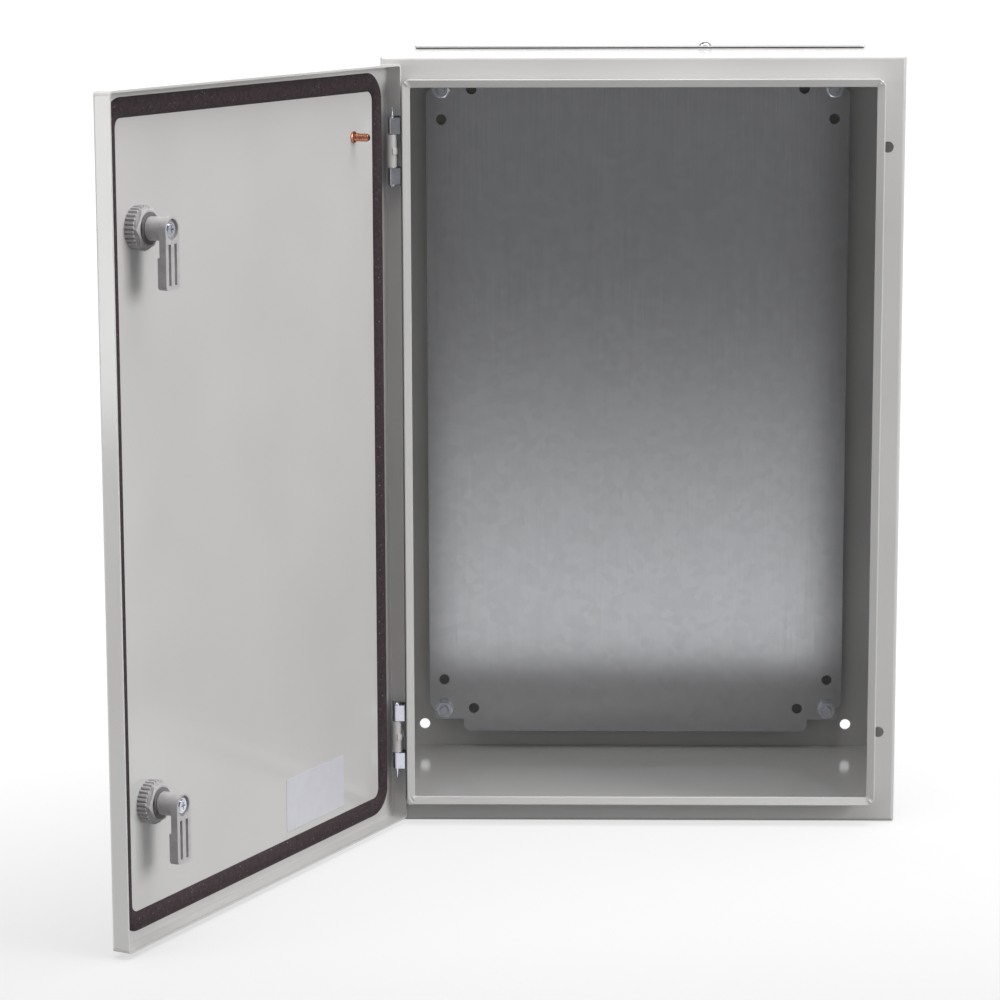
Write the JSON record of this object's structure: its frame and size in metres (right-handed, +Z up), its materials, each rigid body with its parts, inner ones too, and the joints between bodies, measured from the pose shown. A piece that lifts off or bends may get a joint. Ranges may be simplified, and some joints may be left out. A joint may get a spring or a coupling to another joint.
{
  "type": "wall enclosure",
  "caption": "Steel wall enclosure with a hinged door on quarter-turn locks, a foam door seal, a mounting plate on studs and a gland plate.",
  "frame": {"origin": "on the rear face, at the middle of the four wall holes", "axes": "+X to the right seen from the front, +Y to the back, into the wall, +Z up"},
  "size_m": [0.5696, 0.6027, 0.6046],
  "materials": {
    "painted_steel": "light grey powder coat, fine orange peel",
    "galvanised": "bright galvanised sheet, satin",
    "zinc_plated": "bright zinc plating",
    "foam": "cast polyurethane foam, matt",
    "seal_rubber": "black sheet rubber",
    "copper": "copper plating",
    "white_film": "plain white polyester film",
    "lock_plastic": "grey glass-filled polyamide"
  },
  "bodies": {
    "enclosure": {"body_shell": "painted_steel", "back_panel": "painted_steel", "gland_seal": "seal_rubber", "gland_plate": "painted_steel", "gland_screw": "zinc_plated", "gland_rivet_nut": "zinc_plated", "plate_studs": "zinc_plated", "mounting_plate": "galvanised", "plate_washers": "zinc_plated", "plate_nuts": "zinc_plated", "hinge_bracket_upper": "zinc_plated", "hinge_bracket_lower": "zinc_plated", "hinge_nut_upper": "zinc_plated", "hinge_nut_lower": "zinc_plated", "hinge_pin_upper": "zinc_plated", "hinge_pin_lower": "zinc_plated"},
    "door": {"door_panel": "painted_steel", "door_seal": "foam", "door_knuckle_upper": "painted_steel", "door_knuckle_lower": "painted_steel", "earth_stud": "copper", "blank_plate": "white_film", "lock_body_upper": "lock_plastic", "lock_seal_upper": "seal_rubber", "lock_ring_upper": "lock_plastic", "lock_body_lower": "lock_plastic", "lock_seal_lower": "seal_rubber", "lock_ring_lower": "lock_plastic"},
    "lock_upper": {"lock_spindle_upper": "lock_plastic", "lock_lever_upper": "lock_plastic", "lock_screw_upper": "zinc_plated"},
    "lock_lower": {"lock_spindle_lower": "lock_plastic", "lock_lever_lower": "lock_plastic", "lock_screw_lower": "zinc_plated"}
  },
  "joints": [
    {"name": "door_swing", "type": "hinge", "parent": "enclosure", "child": "door", "pos_m": [-0.1908, -0.25102, 0], "axis": [0, 0, 1], "range_deg": [-4, 116]},
    {"name": "lock_turn_upper", "type": "hinge", "parent": "door", "child": "lock_upper", "pos_m": [-0.34806, -0.55405, 0.2], "axis": [-0.8988, 0.4384, 0], "range_deg": [0, 90]},
    {"name": "lock_turn_lower", "type": "hinge", "parent": "door", "child": "lock_lower", "pos_m": [-0.34806, -0.55405, -0.2], "axis": [-0.8988, 0.4384, 0], "range_deg": [0, 90]}
  ]
}
